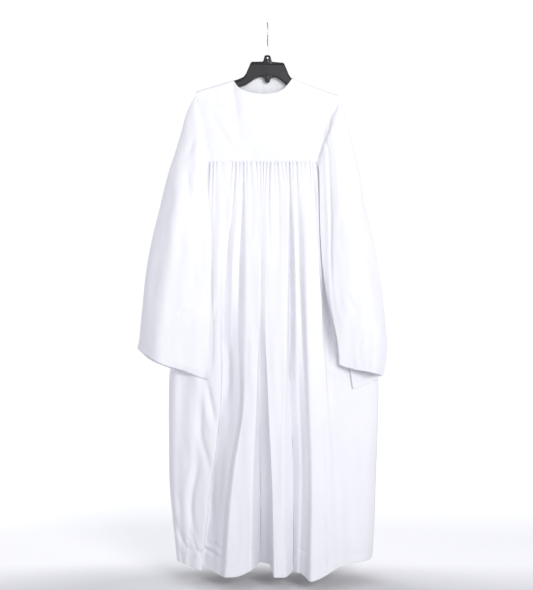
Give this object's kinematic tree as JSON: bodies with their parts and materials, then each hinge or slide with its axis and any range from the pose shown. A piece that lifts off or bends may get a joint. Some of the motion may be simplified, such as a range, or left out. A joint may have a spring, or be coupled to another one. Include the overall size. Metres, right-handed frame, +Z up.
{
  "type": "christening gown on a hanger",
  "caption": "Full-length white christening gown with a plain round-necked yoke, a long gathered skirt and wide bell sleeves, hanging open and empty on a black plastic hanger.",
  "frame": {"origin": "the top of the hook's inside, where the hook bears on a rail", "axes": "the gown's front faces -Y, +X runs along the rail to the viewer's right, which is the wearer's left, and +Z is up"},
  "size_m": [0.5169, 0.2, 1.133],
  "materials": {
    "cotton": "crisp white plain-weave cotton blend with a faint cool sheen",
    "button": "pearly white",
    "hanger": "moulded black plastic, satin to glossy, with raised rims",
    "hook": "bright plated steel wire"
  },
  "bodies": {
    "root": {"front_yoke": "cotton", "back_yoke_right": "cotton", "back_yoke_left": "cotton", "back_placket": "cotton", "front_skirt": "cotton", "back_skirt": "cotton", "sleeve_right": "cotton", "sleeve_left": "cotton", "button_1": "button", "button_2": "button", "button_3": "button", "hanger_body": "hanger", "hanger_hook": "hook"}
  },
  "joints": []
}
